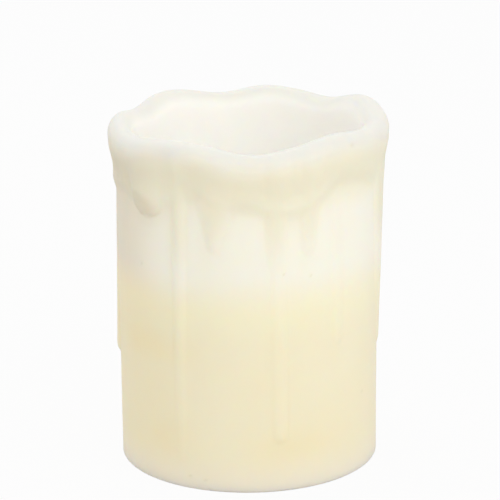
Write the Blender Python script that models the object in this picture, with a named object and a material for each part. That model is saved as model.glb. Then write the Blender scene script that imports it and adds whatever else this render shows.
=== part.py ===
"""Melted pillar candle: a round wax pillar that has burned down inside, with a soft wavy lip hanging over the wall,
runs and drops of wax set on its outside, a cotton wick and the steel sustainer that holds the wick's foot.

Metres, +Z up. The origin is the centre of the flat base. A bearing is an angle round the candle in degrees: 0 is
the front, which faces -Y, and 90 is the right, +X.
"""

import math
from collections import namedtuple

import bmesh
import bpy

MM = 0.001

# The pillar as it was cast
BODY_RADIUS = 38.0 * MM
RIM_HEIGHT = 101.6 * MM  # mean height of the melted rim
FOOT_EDGE = 0.4 * MM  # rounding between the base and the wall

# The well that the flame has burned
WALL = 4.6 * MM  # wax left beside the well
WELL_DEPTH = 44.6 * MM  # mean rim down to the hardened pool
WELL_CORNER = 5.0 * MM  # rounding between the pool and the wall
POOL_COLLAR_HEIGHT = 1.2 * MM  # how far the pool has crept up the wick
POOL_COLLAR_RADIUS = 7.0 * MM

# The lip, a soft roll round the rim
LIP_INSET = 1.4 * MM  # crest of the lip, inwards from the wall's face
LIP_DROP = 4.5 * MM  # crest down to the roll's widest line
LIP_TUCK = 9.0 * MM  # height over which the flare dies away below the widest line
LIP_OVERHANG_INSIDE = 0.4 * MM  # how far the roll narrows the well's mouth

# The coat of melted wax on the wall
COLLAR_THICKNESS = 1.1 * MM  # unbroken coat just below the lip
COLLAR_FADE = 5.5 * MM  # height over which its lower edge thins out
RUN_START = 6.0 * MM  # below the rim, where runs leave the lip
COAT_FOOT = 2.5 * MM  # height above the base over which any coat has thinned to nothing

# The wick and its sustainer
WICK_RADIUS = 1.3 * MM
WICK_STAND = 9.0 * MM  # straight length above the pool
WICK_CURL_RADIUS = 4.5 * MM
WICK_CURL_ANGLE = 58.0  # degrees
WICK_TIP_SHARE = 0.72  # the burned tip's radius beside the wick's
WICK_BEARING = 65.0  # the side to which it curls
TAB_RADIUS = 7.0 * MM
TAB_THICKNESS = 0.5 * MM
TAB_COLLAR_HEIGHT = 4.0 * MM
TAB_COLLAR_WALL = 0.5 * MM
TAB_SET_BACK = 0.4 * MM  # the tab lies this far inside the base's plane
FIT_GAP = 0.3 * MM  # clearance between pieces

# Facets
AROUND = 128
WALL_STEP = 2.45 * MM
ROLL_STEPS = 4
CORNER_STEPS = 3
SMALL_AROUND = 32

# Worked out from the sizes above
WELL_RADIUS = BODY_RADIUS - WALL
WELL_FLOOR = RIM_HEIGHT - WELL_DEPTH
CREST_RADIUS = BODY_RADIUS - LIP_INSET
WAVE_REACH = WELL_DEPTH - WELL_CORNER  # depth below the rim at which its wave has died away
MOUTH_RADIUS = WELL_RADIUS - LIP_OVERHANG_INSIDE
BORE_RADIUS = WICK_RADIUS + FIT_GAP
TAB_COLLAR_RADIUS = WICK_RADIUS + FIT_GAP + TAB_COLLAR_WALL
TAB_TOP = TAB_SET_BACK + TAB_THICKNESS
COLLAR_TOP = TAB_TOP + TAB_COLLAR_HEIGHT

# Rise of the rim over its mean height: (bearing, rise)
RIM_WAVE = (
    (-169, -0.9 * MM),
    (-139, 1.3 * MM),
    (-119, -1.2 * MM),
    (-100, 0.3 * MM),
    (-80, -0.3 * MM),
    (-60, -0.8 * MM),
    (-37, 0.9 * MM),
    (-18, 0.5 * MM),
    (1, -1.7 * MM),
    (20, -0.4 * MM),
    (41, 1.7 * MM),
    (60, 0.6 * MM),
    (80, 0.2 * MM),
    (105, 3.0 * MM),
    (119, 2.3 * MM),
    (138, -0.5 * MM),
    (169, 1.1 * MM),
)

# How far the roll stands out past the wax that coats the wall: (bearing, distance)
LIP_FLARE = (
    (-90, 1.4 * MM),
    (0, 1.3 * MM),
    (90, 1.1 * MM),
    (180, 1.6 * MM),
)

# How far the well's mouth wanders out from its mean radius: (bearing, distance)
MOUTH_WANDER = (
    (-160, 0.5 * MM),
    (-122, -0.7 * MM),
    (-84, 0.3 * MM),
    (-46, -0.4 * MM),
    (-4, 0.7 * MM),
    (38, -0.5 * MM),
    (76, 0.4 * MM),
    (112, -0.6 * MM),
    (150, 0.2 * MM),
)

# Depth below the rim's mean at which the unbroken coat ends: (bearing, depth). It ends high in the arches between drips
COLLAR_EDGE = (
    (-170, 16.0 * MM),
    (-140, 14.0 * MM),
    (-115, 17.0 * MM),
    (-90, 19.0 * MM),
    (-64, 16.0 * MM),
    (-41, 18.5 * MM),
    (-33, 17.0 * MM),
    (-23, 14.0 * MM),
    (-12, 17.0 * MM),
    (0, 15.5 * MM),
    (13, 18.5 * MM),
    (28, 18.0 * MM),
    (43, 12.5 * MM),
    (62, 13.5 * MM),
    (90, 20.0 * MM),
    (124, 15.0 * MM),
    (150, 18.0 * MM),
)

# A run of wax down the wall. It goes from a bearing under the lip to a bearing at its tip, tip_depth below the rim's
# mean, and tip_round is the height of its rounded end. crisp is the power of its section: 0.5 is a half round with a
# steep edge, 1 is a flat dome.
Run = namedtuple(
    "Run",
    "start_bearing tip_bearing tip_depth tip_round top_width tip_width top_thickness tip_thickness crisp",
)

RUNS = (
    # The front, left to right
    Run(-96, -97, 71.2 * MM, 3.0 * MM, 14.0 * MM, 18.0 * MM, 0.0 * MM, 1.3 * MM, 0.5),
    Run(-49, -48, 22.0 * MM, 5.0 * MM, 15.0 * MM, 12.5 * MM, 1.4 * MM, 2.2 * MM, 0.45),
    Run(-30.5, -31, 94.0 * MM, 2.5 * MM, 5.4 * MM, 4.0 * MM, 1.2 * MM, 0.25 * MM, 1.0),
    Run(-14, -14.5, 30.5 * MM, 3.5 * MM, 18.0 * MM, 4.5 * MM, 1.6 * MM, 0.7 * MM, 1.0),
    Run(12.5, 12.0, 36.0 * MM, 3.5 * MM, 9.0 * MM, 5.0 * MM, 1.6 * MM, 0.4 * MM, 1.0),
    Run(12.5, 13.7, 87.0 * MM, 2.4 * MM, 4.0 * MM, 4.6 * MM, 0.2 * MM, 0.5 * MM, 0.8),
    Run(27.5, 26.5, 32.0 * MM, 3.5 * MM, 9.5 * MM, 4.4 * MM, 1.5 * MM, 0.6 * MM, 1.0),
    Run(42, 42, 60.0 * MM, 2.0 * MM, 3.4 * MM, 3.8 * MM, 0.1 * MM, 0.4 * MM, 0.8),
    Run(91, 92, 68.0 * MM, 3.0 * MM, 27.0 * MM, 18.0 * MM, 2.2 * MM, 0.6 * MM, 0.5),
    # The back, right to left
    Run(120, 121, 36.0 * MM, 4.5 * MM, 9.0 * MM, 6.5 * MM, 1.5 * MM, 1.4 * MM, 0.6),
    Run(138, 137, 78.0 * MM, 4.0 * MM, 8.5 * MM, 6.5 * MM, 1.3 * MM, 0.8 * MM, 0.9),
    Run(156, 156, 25.0 * MM, 5.0 * MM, 12.0 * MM, 9.0 * MM, 1.4 * MM, 2.0 * MM, 0.5),
    Run(174, 176, 58.0 * MM, 4.0 * MM, 12.0 * MM, 7.0 * MM, 1.5 * MM, 1.0 * MM, 0.8),
    Run(-168, -168, 42.0 * MM, 3.0 * MM, 5.2 * MM, 4.6 * MM, 1.2 * MM, 0.8 * MM, 0.8),
    Run(-150, -149, 33.0 * MM, 4.0 * MM, 10.0 * MM, 5.0 * MM, 1.5 * MM, 1.0 * MM, 0.9),
    Run(-131, -132, 89.0 * MM, 4.0 * MM, 9.0 * MM, 6.0 * MM, 1.3 * MM, 0.8 * MM, 0.8),
    Run(-114, -114, 27.0 * MM, 4.0 * MM, 8.0 * MM, 6.5 * MM, 1.4 * MM, 1.5 * MM, 0.6),
)
BLEND_POWER = 3  # how sharply the thickest coat wins where runs meet


def eased(share):
    """0 to 1 with no kink at either end."""
    share = min(max(share, 0.0), 1.0)
    return share * share * (3 - 2 * share)


def turn_from(bearing, other):
    """Signed angle from one bearing to another, by the short way round."""
    return (bearing - other + 180) % 360 - 180


def around(points, bearing):
    """Value at a bearing of the smooth closed curve through (bearing, value) points."""
    count = len(points)
    start = points[0][0]
    bearing = (bearing - start) % 360 + start
    i = max(n for n in range(count) if points[n][0] <= bearing)
    (b0, v0), (b1, v1), (b2, v2), (b3, v3) = (
        (points[n % count][0] + 360 * (n // count), points[n % count][1]) for n in range(i - 1, i + 3)
    )
    span = b2 - b1
    slope1 = (v2 - v0) / (b2 - b0) * span
    slope2 = (v3 - v1) / (b3 - b1) * span
    t = (bearing - b1) / span
    return (
        (2 * t**3 - 3 * t**2 + 1) * v1
        + (t**3 - 2 * t**2 + t) * slope1
        + (3 * t**2 - 2 * t**3) * v2
        + (t**3 - t**2) * slope2
    )


def run_thickness(run, bearing, depth):
    """Thickness of one run at a bearing and a depth below the rim's mean. Its tip is half an ellipse."""
    tip_centre = run.tip_depth - run.tip_round
    share = min(max((depth - RUN_START) / (tip_centre - RUN_START), 0.0), 1.0)
    centre = run.start_bearing + (run.tip_bearing - run.start_bearing) * share
    half = (run.top_width + (run.tip_width - run.top_width) * share) / 2
    thickness = run.top_thickness + (run.tip_thickness - run.top_thickness) * share
    aside = math.radians(turn_from(bearing, centre)) * BODY_RADIUS / half
    past = max(depth - tip_centre, 0.0) / run.tip_round
    return thickness * max(1 - aside**2 - past**2, 0.0) ** run.crisp


def coat(bearing, height):
    """Thickness of the wax that has run down and set on the wall."""
    depth = RIM_HEIGHT - height
    collar = COLLAR_THICKNESS * eased(0.5 + (around(COLLAR_EDGE, bearing) - depth) / COLLAR_FADE)
    layers = [collar] + [run_thickness(run, bearing, depth) for run in RUNS]
    blended = sum(layer**BLEND_POWER for layer in layers) ** (1 / BLEND_POWER)
    return blended * eased((height - FOOT_EDGE) / COAT_FOOT)


def arc(centre, radii, start, end, steps):
    """Points on a quarter ellipse in (radius, height), from one angle in degrees to another."""
    angles = (math.radians(start + (end - start) * step / steps) for step in range(steps + 1))
    return [(centre[0] + radii[0] * math.cos(a), centre[1] + radii[1] * math.sin(a)) for a in angles]


def evenly(start, end, longest):
    """Values from start to end in equal steps no longer than the given one, without the end itself."""
    steps = max(1, math.ceil(abs(end - start) / longest))
    return [start + (end - start) * step / steps for step in range(steps)]


def pillar_profile():
    """The pillar's section before it melted out of true, as (radius, height): up the wall, over the lip, down the well."""
    widest = RIM_HEIGHT - LIP_DROP
    foot = arc((BODY_RADIUS - FOOT_EDGE, FOOT_EDGE), (FOOT_EDGE, FOOT_EDGE), -90, 0, 2)
    wall = [(BODY_RADIUS, z) for z in evenly(FOOT_EDGE, widest, WALL_STEP)[1:]]
    outside = arc((CREST_RADIUS, widest), (LIP_INSET, LIP_DROP), 0, 90, ROLL_STEPS)
    inside = arc((CREST_RADIUS, widest), (CREST_RADIUS - MOUTH_RADIUS, LIP_DROP), 90, 180, ROLL_STEPS)[1:]
    shoulder = WELL_FLOOR + WELL_CORNER
    well = [(WELL_RADIUS, z) for z in evenly(widest, shoulder, WELL_CORNER * 2)[1:]]
    corner = arc((WELL_RADIUS - WELL_CORNER, shoulder), (WELL_CORNER, WELL_CORNER), 0, -90, CORNER_STEPS)
    creep = [(POOL_COLLAR_RADIUS * share, pool_height(POOL_COLLAR_RADIUS * share)) for share in (1, 0.6, 0.35, 0)]
    return [(0, 0)] + foot + wall + outside + inside + well + corner + creep


def pool_height(radius):
    """Height of the hardened pool, which climbs a little where it meets the wick."""
    return WELL_FLOOR + POOL_COLLAR_HEIGHT * (1 - eased(radius / POOL_COLLAR_RADIUS)) ** 2


def melted(radius, height, bearing):
    """Where a point of the cast pillar has gone: its rim has sagged in waves, its lip has flared, and wax coats its wall."""
    wave = around(RIM_WAVE, bearing) * eased(1 - (RIM_HEIGHT - height) / WAVE_REACH)
    new_height = height + wave if height > WELL_FLOOR + WELL_CORNER else height
    if radius >= CREST_RADIUS and height > 0:
        below_roll = max(RIM_HEIGHT - LIP_DROP - height, 0.0)
        flare = around(LIP_FLARE, bearing) * (1 - eased(below_roll / LIP_TUCK))
        outward = (radius - CREST_RADIUS) / LIP_INSET
        return radius + (coat(bearing, min(height, RIM_HEIGHT - LIP_DROP)) + flare) * min(outward, 1.0), new_height
    if height > WELL_FLOOR + WELL_CORNER:
        nearness = eased(1 - (RIM_HEIGHT - LIP_DROP - height) / (WELL_DEPTH / 2))
        inward = min((CREST_RADIUS - radius) / (CREST_RADIUS - MOUTH_RADIUS), 1.0)
        return radius + around(MOUTH_WANDER, bearing) * nearness * inward, new_height
    return radius, new_height


def material(name, colour, roughness, metallic=0.0):
    """A Principled material with this colour, as linear red, green and blue."""
    made = bpy.data.materials.new(name)
    made.use_nodes = True
    shader = made.node_tree.nodes["Principled BSDF"]
    shader.inputs["Base Color"].default_value = (*colour, 1)
    shader.inputs["Roughness"].default_value = roughness
    shader.inputs["Metallic"].default_value = metallic
    return made


def turned(profile, steps):
    """A mesh turned from (radius, height) points about +Z, welded where it closes and where it meets the axis."""
    bm = bmesh.new()
    verts = [bm.verts.new((0, -radius, height)) for radius, height in profile]
    edges = [bm.edges.new(pair) for pair in zip(verts, verts[1:])]
    bmesh.ops.spin(
        bm, geom=verts + edges, cent=(0, 0, 0), axis=(0, 0, 1), angle=math.tau, steps=steps, use_duplicate=False
    )
    bmesh.ops.remove_doubles(bm, verts=bm.verts, dist=0.001 * MM)
    bmesh.ops.recalc_face_normals(bm, faces=bm.faces)
    return bm


def add_object(name, bm, finish=None):
    """Links a mesh object made from bm, shaded smooth but for its sharp edges."""
    mesh = bpy.data.meshes.new(name)
    bm.to_mesh(mesh)
    bm.free()
    mesh.shade_smooth()
    mesh.set_sharp_from_angle(angle=math.radians(40))
    made = bpy.data.objects.new(name, mesh)
    bpy.context.scene.collection.objects.link(made)
    if finish:
        mesh.materials.append(finish)
    return made


def add_wax_body(wax):
    """The pillar, melted out of true, with the wick's bore and the sustainer's seat cut from below."""
    bm = turned(pillar_profile(), AROUND)
    for vert in bm.verts:
        radius = math.hypot(vert.co.x, vert.co.y)
        if radius > 0:
            bearing = math.degrees(math.atan2(vert.co.x, -vert.co.y))
            new_radius, vert.co.z = melted(radius, vert.co.z, bearing)
            vert.co.x *= new_radius / radius
            vert.co.y *= new_radius / radius
    body = add_object("wax_body", bm, wax)

    seat_top = TAB_TOP + FIT_GAP
    collar_bore = TAB_COLLAR_RADIUS + FIT_GAP
    seat = TAB_RADIUS + FIT_GAP
    past_base = -WELL_CORNER
    past_pool = WELL_FLOOR + POOL_COLLAR_HEIGHT + WELL_CORNER
    bore = [
        (0, past_base),
        (seat, past_base),
        (seat, seat_top),
        (collar_bore, seat_top),
        (collar_bore, COLLAR_TOP + FIT_GAP),
        (BORE_RADIUS, COLLAR_TOP + FIT_GAP),
        (BORE_RADIUS, past_pool),
        (0, past_pool),
    ]
    cutter = add_object("wick_bore_cutter", turned(bore, SMALL_AROUND))
    cutter.hide_render = True
    cutter.display_type = "WIRE"
    cut = body.modifiers.new("wick_bore", "BOOLEAN")
    cut.operation = "DIFFERENCE"
    cut.solver = "EXACT"
    cut.object = cutter
    return body


def wick_path():
    """Points up the wick's centreline: straight through the wax, then curling over, each with its share of the radius."""
    bend_height = WELL_FLOOR + POOL_COLLAR_HEIGHT + WICK_STAND
    side = math.radians(WICK_BEARING)
    points = [((0, 0, TAB_SET_BACK), 1), ((0, 0, WELL_FLOOR), 1)]
    curl_steps = 7
    for step in range(curl_steps + 1):
        share = step / curl_steps
        angle = math.radians(WICK_CURL_ANGLE) * share
        reach = WICK_CURL_RADIUS * (1 - math.cos(angle))
        height = bend_height + WICK_CURL_RADIUS * math.sin(angle)
        point = (reach * math.sin(side), -reach * math.cos(side), height)
        points.append((point, 1 + (WICK_TIP_SHARE - 1) * eased(share)))
    return points


def add_wick(cotton):
    """The braided wick, as a round cord along its path."""
    path = wick_path()
    curve = bpy.data.curves.new("wick", "CURVE")
    curve.dimensions = "3D"
    curve.bevel_depth = WICK_RADIUS
    curve.bevel_resolution = 3
    curve.use_fill_caps = True
    spline = curve.splines.new("POLY")
    spline.points.add(len(path) - 1)
    for point, (place, share) in zip(spline.points, path):
        point.co = (*place, 1)
        point.radius = share
    curve.materials.append(cotton)
    made = bpy.data.objects.new("wick", curve)
    bpy.context.scene.collection.objects.link(made)
    return made


def add_wick_sustainer(steel):
    """The steel tab pressed into the base, drawn up in the middle to a collar round the wick."""
    inner = WICK_RADIUS + FIT_GAP
    profile = [
        (inner, TAB_SET_BACK),
        (TAB_RADIUS, TAB_SET_BACK),
        (TAB_RADIUS, TAB_TOP),
        (TAB_COLLAR_RADIUS, TAB_TOP),
        (TAB_COLLAR_RADIUS, COLLAR_TOP),
        (inner, COLLAR_TOP),
        (inner, TAB_SET_BACK),
    ]
    return add_object("wick_sustainer", turned(profile, SMALL_AROUND), steel)


def main():
    for stale in list(bpy.data.objects):
        bpy.data.objects.remove(stale, do_unlink=True)
    add_wax_body(material("wax", (0.89, 0.83, 0.68), 0.45))
    add_wick(material("wick_cotton", (0.62, 0.55, 0.42), 0.9))
    add_wick_sustainer(material("tinned_steel", (0.62, 0.62, 0.6), 0.35, metallic=1.0))


main()
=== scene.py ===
"""The looks of a melted pillar candle: its wax, its braided wick, the steel tab under it, and the studio it
stands in.

Metres, +Z up. The origin is the centre of the flat base. A bearing is an angle round the candle in degrees:
0 is the front, which faces -Y, and 90 is the right, +X. The shape of the wax follows the same rules and the
same named sizes as the solids do, on a finer grid.
"""

import math
from collections import namedtuple

import bpy
import numpy as np
from bpy.props import FloatProperty, FloatVectorProperty, PointerProperty
from bpy.types import Operator, Panel, PropertyGroup
from mathutils import Matrix, Vector


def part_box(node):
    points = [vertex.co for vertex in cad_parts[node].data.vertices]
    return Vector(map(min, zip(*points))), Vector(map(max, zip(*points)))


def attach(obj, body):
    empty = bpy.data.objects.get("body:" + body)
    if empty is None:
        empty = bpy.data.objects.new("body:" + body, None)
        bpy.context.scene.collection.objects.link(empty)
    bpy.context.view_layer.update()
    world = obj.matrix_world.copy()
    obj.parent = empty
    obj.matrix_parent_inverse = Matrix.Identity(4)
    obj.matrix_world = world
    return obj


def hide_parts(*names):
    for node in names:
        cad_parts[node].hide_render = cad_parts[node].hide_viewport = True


bl_info = {
    "name": "Melted Pillar Candle",
    "version": (1, 0, 0),
    "blender": (4, 5, 0),
    "location": "3D View > Sidebar > Candle",
    "description": "Makes the wax, wick and steel tab of a burned-down pillar candle, and a studio round it",
    "category": "Object",
}

MM = 0.001

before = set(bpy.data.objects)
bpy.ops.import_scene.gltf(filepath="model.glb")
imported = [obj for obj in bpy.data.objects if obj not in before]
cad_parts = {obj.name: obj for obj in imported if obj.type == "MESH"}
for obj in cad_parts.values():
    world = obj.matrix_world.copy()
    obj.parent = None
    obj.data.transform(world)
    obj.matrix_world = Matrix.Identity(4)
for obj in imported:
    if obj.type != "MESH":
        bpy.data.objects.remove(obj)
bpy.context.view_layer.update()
TAB_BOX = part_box("wick_sustainer")

# Clearances and small roundings, as the solids have them
FIT_GAP = 0.3 * MM
FOOT_EDGE = 0.4 * MM
WELL_CORNER = 5.0 * MM
POOL_COLLAR_HEIGHT = 1.2 * MM
POOL_COLLAR_RADIUS = 7.0 * MM
LIP_TUCK = 9.0 * MM
LIP_OVERHANG_INSIDE = 0.4 * MM
COLLAR_FADE = 5.5 * MM
RUN_START = 6.0 * MM
COAT_FOOT = 2.5 * MM
BLEND_POWER = 3
FILLET = 0.06
TAB_COLLAR_WALL = 0.5 * MM
TAB_SET_BACK = TAB_BOX[0].z
TAB_RADIUS = TAB_BOX[1].x
TAB_THICKNESS = 0.5 * MM
TAB_COLLAR_TOP = TAB_BOX[1].z

# Rise of the rim over its mean height: (bearing, rise)
RIM_WAVE = (
    (-169, -0.9 * MM),
    (-139, 1.3 * MM),
    (-119, -1.2 * MM),
    (-100, 0.3 * MM),
    (-80, -0.3 * MM),
    (-60, -0.8 * MM),
    (-37, 0.9 * MM),
    (-18, 0.5 * MM),
    (1, -1.7 * MM),
    (20, -0.4 * MM),
    (41, 1.7 * MM),
    (60, 0.6 * MM),
    (80, 0.2 * MM),
    (105, 3.0 * MM),
    (119, 2.3 * MM),
    (138, -0.5 * MM),
    (169, 1.1 * MM),
)

# How far the lip's roll stands out past the wax that coats the wall: (bearing, distance)
LIP_FLARE = ((-90, 1.4 * MM), (0, 1.3 * MM), (90, 1.1 * MM), (180, 1.6 * MM))

# How far the well's mouth wanders out from its mean radius: (bearing, distance)
MOUTH_WANDER = (
    (-160, 0.5 * MM),
    (-122, -0.7 * MM),
    (-84, 0.3 * MM),
    (-46, -0.4 * MM),
    (-4, 0.7 * MM),
    (38, -0.5 * MM),
    (76, 0.4 * MM),
    (112, -0.6 * MM),
    (150, 0.2 * MM),
)

# Depth below the rim's mean at which the unbroken coat ends, high in the arches between drips: (bearing,
# depth)
COLLAR_EDGE = (
    (-170, 16.0 * MM),
    (-140, 14.0 * MM),
    (-115, 17.0 * MM),
    (-90, 19.0 * MM),
    (-64, 16.0 * MM),
    (-41, 18.5 * MM),
    (-33, 17.0 * MM),
    (-23, 14.0 * MM),
    (-12, 17.0 * MM),
    (0, 15.5 * MM),
    (13, 18.5 * MM),
    (28, 18.0 * MM),
    (43, 12.5 * MM),
    (62, 13.5 * MM),
    (90, 20.0 * MM),
    (124, 15.0 * MM),
    (150, 18.0 * MM),
)

# A run of wax down the wall. It goes from a bearing under the lip to a bearing at its tip, tip_depth below
# the rim's mean, and tip_round is the height of its rounded end. crisp is the power of its section: 0.5 is
# a half round with a steep edge, 1 is a flat dome.
Run = namedtuple(
    "Run",
    "start_bearing tip_bearing tip_depth tip_round top_width tip_width top_thickness tip_thickness crisp",
)

RUNS = (
    # The front, left to right
    Run(-96, -97, 71.2 * MM, 3.0 * MM, 14.0 * MM, 18.0 * MM, 0.0 * MM, 1.3 * MM, 0.5),
    Run(-49, -48, 22.0 * MM, 5.0 * MM, 15.0 * MM, 12.5 * MM, 1.4 * MM, 2.2 * MM, 0.45),
    Run(-30.5, -31, 94.0 * MM, 2.5 * MM, 5.4 * MM, 4.0 * MM, 1.2 * MM, 0.25 * MM, 1.0),
    Run(-14, -14.5, 30.5 * MM, 3.5 * MM, 18.0 * MM, 4.5 * MM, 1.6 * MM, 0.7 * MM, 1.0),
    Run(12.5, 12.0, 36.0 * MM, 3.5 * MM, 9.0 * MM, 5.0 * MM, 1.6 * MM, 0.4 * MM, 1.0),
    Run(12.5, 13.7, 87.0 * MM, 2.4 * MM, 4.0 * MM, 4.6 * MM, 0.2 * MM, 0.5 * MM, 0.8),
    Run(27.5, 26.5, 32.0 * MM, 3.5 * MM, 9.5 * MM, 4.4 * MM, 1.5 * MM, 0.6 * MM, 1.0),
    Run(42, 42, 60.0 * MM, 2.0 * MM, 3.4 * MM, 3.8 * MM, 0.1 * MM, 0.4 * MM, 0.8),
    Run(91, 92, 68.0 * MM, 3.0 * MM, 27.0 * MM, 18.0 * MM, 2.2 * MM, 0.6 * MM, 0.5),
    # The back, right to left
    Run(120, 121, 36.0 * MM, 4.5 * MM, 9.0 * MM, 6.5 * MM, 1.5 * MM, 1.4 * MM, 0.6),
    Run(138, 137, 78.0 * MM, 4.0 * MM, 8.5 * MM, 6.5 * MM, 1.3 * MM, 0.8 * MM, 0.9),
    Run(156, 156, 25.0 * MM, 5.0 * MM, 12.0 * MM, 9.0 * MM, 1.4 * MM, 2.0 * MM, 0.5),
    Run(174, 176, 58.0 * MM, 4.0 * MM, 12.0 * MM, 7.0 * MM, 1.5 * MM, 1.0 * MM, 0.8),
    Run(-168, -168, 42.0 * MM, 3.0 * MM, 5.2 * MM, 4.6 * MM, 1.2 * MM, 0.8 * MM, 0.8),
    Run(-150, -149, 33.0 * MM, 4.0 * MM, 10.0 * MM, 5.0 * MM, 1.5 * MM, 1.0 * MM, 0.9),
    Run(-131, -132, 89.0 * MM, 4.0 * MM, 9.0 * MM, 6.0 * MM, 1.3 * MM, 0.8 * MM, 0.8),
    Run(-114, -114, 27.0 * MM, 4.0 * MM, 8.0 * MM, 6.5 * MM, 1.4 * MM, 1.5 * MM, 0.6),
)

# Small pits left by bubbles: bearing, height and radius
Pit = namedtuple("Pit", "bearing height radius")
PIT_DEPTH = 0.25 * MM
PITS = (
    Pit(47.1, 98.6 * MM, 0.5 * MM),
    Pit(-53.0, 64.8 * MM, 0.45 * MM),
    Pit(15.4, 65.2 * MM, 0.3 * MM),
    Pit(27.9, 64.1 * MM, 0.3 * MM),
    Pit(-26.7, 3.8 * MM, 0.45 * MM),
    Pit(-19.4, 3.2 * MM, 0.4 * MM),
    Pit(60.0, 24.0 * MM, 0.35 * MM),
    Pit(-72.0, 88.0 * MM, 0.4 * MM),
    Pit(132.0, 61.0 * MM, 0.45 * MM),
    Pit(-158.0, 34.0 * MM, 0.5 * MM),
    Pit(172.0, 12.0 * MM, 0.4 * MM),
)

# Smooth random relief: cells round the candle and up it, the seed of the cells' values, and its greatest
# rise
Layer = namedtuple("Layer", "across along seed rise")
WALL_STREAKS = (Layer(110, 6, 1, 0.015 * MM), Layer(44, 7, 2, 0.05 * MM))
COLLAR_LUMPS = (Layer(90, 42, 3, 0.08 * MM), Layer(48, 22, 4, 0.10 * MM))
LIP_WRINKLES = (Layer(22, 95, 5, 0.05 * MM), Layer(26, 12, 6, 0.18 * MM))
WELL_SWELLS = (Layer(26, 9, 7, 0.08 * MM),)

# Heights over which the lip's wrinkles fade and the collar's lumps come in and go, and how near the wick
# and the base all relief dies away
WRINKLE_FADE = 2.0 * MM
LUMP_RISE = 8.0 * MM
LUMP_END = 15.0 * MM
LUMP_FADE = 6.0 * MM
WICK_CALM = 4.0 * MM
BASE_CALM = 3.0 * MM

# A rough patch above the thick drop at the front left: bearing, half width in degrees, height and half
# height
Spot = namedtuple("Spot", "bearing spread height reach")
SCAR = Spot(-60, 12, 87.0 * MM, 4.0 * MM)
SCAR_GRAIN = (Layer(200, 80, 8, 0.09 * MM), Layer(120, 46, 9, 0.09 * MM))

# How far below the crest the lip's grey wax begins to give way outside to the painted shade under its
# overhang, how far that wanders, and the height over which it does so, outside and in the well
LIP_EDGE = 0.3 * MM
LIP_WAVER = (Layer(34, 9, 10, 0.8 * MM),)
LIP_SHADE = 8.0 * MM
INNER_SHADE = 5.0 * MM

# The warm painted shade under the lip's overhang, and that of a coat or a drip this thick, where it stands
# for the dimmer light through thick wax: depth below the crest to which each stays full, and the height over
# which it fades. The thick coat is blurred over these columns and rows
UNDER_LIP_SHADE_END = 12.0 * MM
UNDER_LIP_SHADE_FADE = 11.0 * MM
DRIP_END = 23.0 * MM
DRIP_FADE = 20.0 * MM
THICK_COAT = 0.8 * MM
THICK_BLUR = (2, 5)

# The thick drop at the front left. Its lower left edge is darker with painted shade from the drop's
# overhang, this many grid steps in and from this depth down
THICK_DROP = RUNS[1]
SHADE_STEPS = 5
SHADE_BLUR = (2, 2)
SHADE_TOP = 13.0 * MM
SHADE_FADE = 3.0 * MM

# Upright streaks where the wall's wax is a little thicker, darkened with the same painted shade as the thick
# coat: bearing, half width in degrees, depth of their end, strength
Streak = namedtuple("Streak", "bearing spread end share")
STREAK_START = 16.0 * MM
STREAKS = (
    Streak(-34.0, 3.0, 50.0 * MM, 0.50),
    Streak(-17.5, 4.5, 46.0 * MM, 0.40),
    Streak(12.5, 4.0, 46.0 * MM, 0.35),
    Streak(24.5, 2.6, 46.0 * MM, 0.30),
    Streak(121.0, 3.5, 42.0 * MM, 0.35),
    Streak(137.0, 4.0, 50.0 * MM, 0.45),
    Streak(175.0, 5.0, 46.0 * MM, 0.40),
    Streak(-150.0, 4.0, 42.0 * MM, 0.35),
    Streak(-132.0, 4.0, 50.0 * MM, 0.45),
)

# Places where the cream wax is warmer, as spots with a strength
Patch = namedtuple("Patch", "bearing spread height reach share")
PATCHES = (
    Patch(-55, 24, 41.0 * MM, 7.5 * MM, 0.90),
    Patch(-42, 17, 14.0 * MM, 8.0 * MM, 0.55),
    Patch(18, 20, 13.5 * MM, 4.5 * MM, 0.42),
    Patch(118, 18, 28.0 * MM, 11.0 * MM, 0.60),
    Patch(-165, 24, 20.0 * MM, 10.0 * MM, 0.60),
)

# How far round the wick the pool is stained
SOOT_REACH = 4.5 * MM

# Painted shade round the left side, away from the key lamp: a warm tone in the solid wax and a darker one in
# the thin wax above. For each, the sine of the bearing at which it begins, and over how much of a sine it
# comes in
WARM_SHADE_LEFT = (0.3, 0.6)
SHADED_LEFT = (0.6, 0.4)

# Patterns, in cells to the metre, what is left of that up the wall, and how far the clouds shift a tone
CLOUD_CELLS = 60.0
CLOUD_SHIFT = 3.0 * MM
BROAD_CELLS = 26.0
STREAK_CELLS = 340.0
STREAK_STRETCH = 0.12
FINE_CELLS = 900.0
FUZZ_CELLS = 1400.0
FIBRE_CELLS = 5200.0
FIBRE_STRETCH = 0.25
SMEAR_CELLS = 420.0
GRAIN_CELLS = 3800.0

# Levels, above the pool's own, between which a tone comes in or goes
WHITE_RISE = (-5.5 * MM, 9.5 * MM)
HONEY_RISE = (-14.0 * MM, -4.0 * MM)
HONEY_FALL = (-3.0 * MM, 6.0 * MM)
# Up the well's wall the pool's tone gives way to the well's whiter paint, which is painted light
WELL_LIGHT_RISE = (1.0 * MM, 14.0 * MM)
# Height over which painted light from the floor lightens the base
FLOOR_LIGHT_HEIGHT = 12.0 * MM

# How much of each tone covers what lies under it
HONEY_SHARE = 0.8
# Painted warm shade round the left side of the solid wax
WARM_SHADE_SHARE = 0.5
WARM_SHARE = 0.7
BROAD_SHARE = 0.15
# Painted light from the floor on the base
FLOOR_LIGHT_SHARE = 0.8
# Painted shade under the lip and on thick wax
DRIP_AND_LIP_SHADE_SHARE = 0.88
# Painted shade round the left side of the thin wax
LEFT_SHADE_SHARE = 0.52
STREAK_SHARE = 0.05
# Painted shade at the thick drop's edge
SHADE_SHARE = 0.4
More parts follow.
